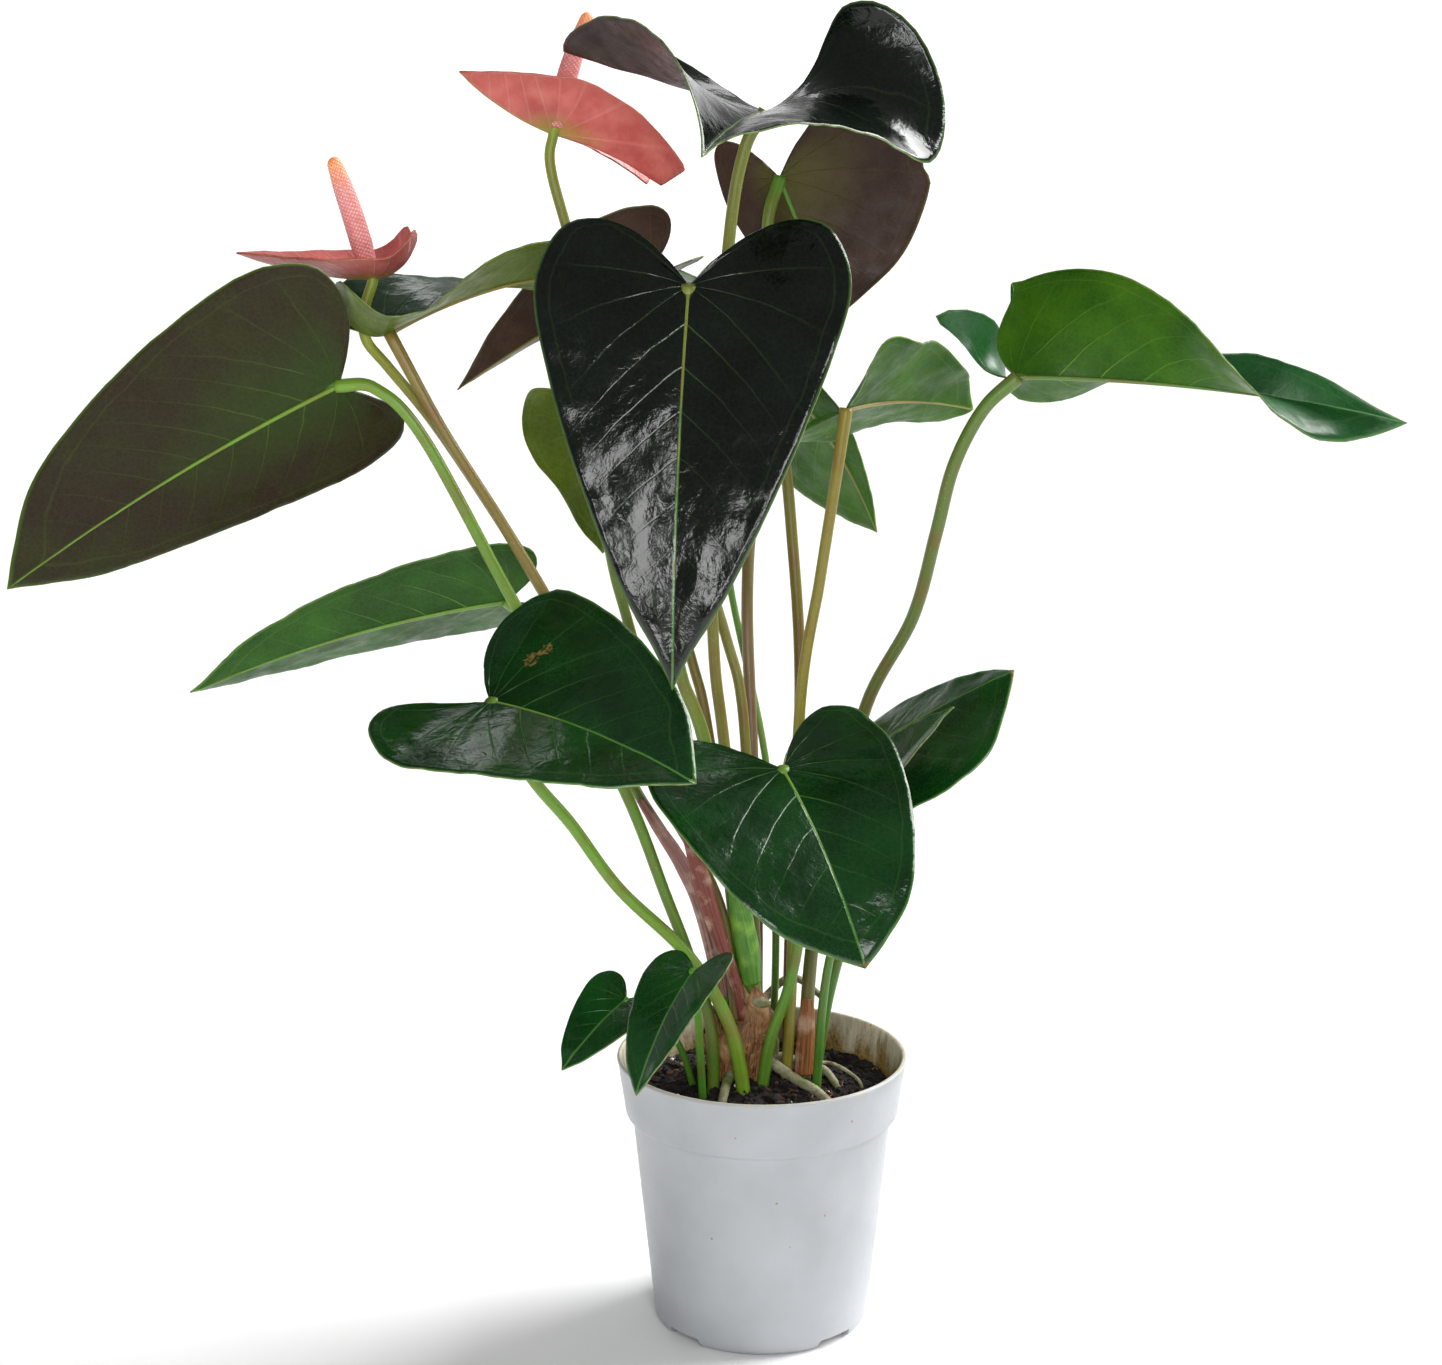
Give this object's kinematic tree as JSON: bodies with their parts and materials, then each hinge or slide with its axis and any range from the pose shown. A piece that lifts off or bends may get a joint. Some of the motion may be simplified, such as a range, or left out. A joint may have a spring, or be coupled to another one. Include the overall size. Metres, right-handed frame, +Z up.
{
  "type": "potted anthurium",
  "caption": "Anthurium plant with glossy heart-shaped leaves on long thin stalks and small pink flowers, standing in soil in a round tapered pot with a stepped collar.",
  "frame": {"origin": "centre of the flat pad under the pot, on the surface that the pot stands on", "axes": "+Z up; +X to the right and +Y away from the viewer, as in the picture"},
  "size_m": [0.5522, 0.2504, 0.543],
  "materials": {
    "pot_plastic": "satin white injection-moulded plastic",
    "soil": null,
    "stem_and_roots": "brown papery stem with greenish-grey roots",
    "sheath": "thin dry papery sheath",
    "spathe": "waxy salmon pink",
    "spadix": "finely beaded pink, orange at the tip",
    "flower_stalk": "smooth yellow-green to brown",
    "leaf_dark": "glossy near-black blade, olive brown beneath, on a green stalk",
    "leaf_green": "glossy dark green blade, lighter beneath, on a green stalk"
  },
  "bodies": {
    "root": {"flower_back_spadix": "spadix", "flower_back_spathe": "spathe", "flower_back_stalk": "flower_stalk", "flower_left_spadix": "spadix", "flower_left_spathe": "spathe", "flower_left_stalk": "flower_stalk", "leaf_back_brown": "leaf_dark", "leaf_back_left": "leaf_dark", "leaf_back_middle": "leaf_green", "leaf_far_left": "leaf_dark", "leaf_far_right": "leaf_green", "leaf_front_large": "leaf_dark", "leaf_front_left": "leaf_green", "leaf_front_right": "leaf_green", "leaf_hanging_left": "leaf_green", "leaf_left_low": "leaf_green", "leaf_right_hanging": "leaf_green", "leaf_right_low": "leaf_green", "leaf_right_low_small": "leaf_green", "leaf_right_upper": "leaf_green", "leaf_small_front": "leaf_green", "leaf_small_left": "leaf_green", "leaf_top_dark": "leaf_dark", "leaf_upper_left": "leaf_green", "pot": "pot_plastic", "sheath_orange": "sheath", "sheath_pink": "sheath", "sheath_red": "sheath", "soil": "soil", "stem_and_roots": "stem_and_roots"}
  },
  "joints": []
}
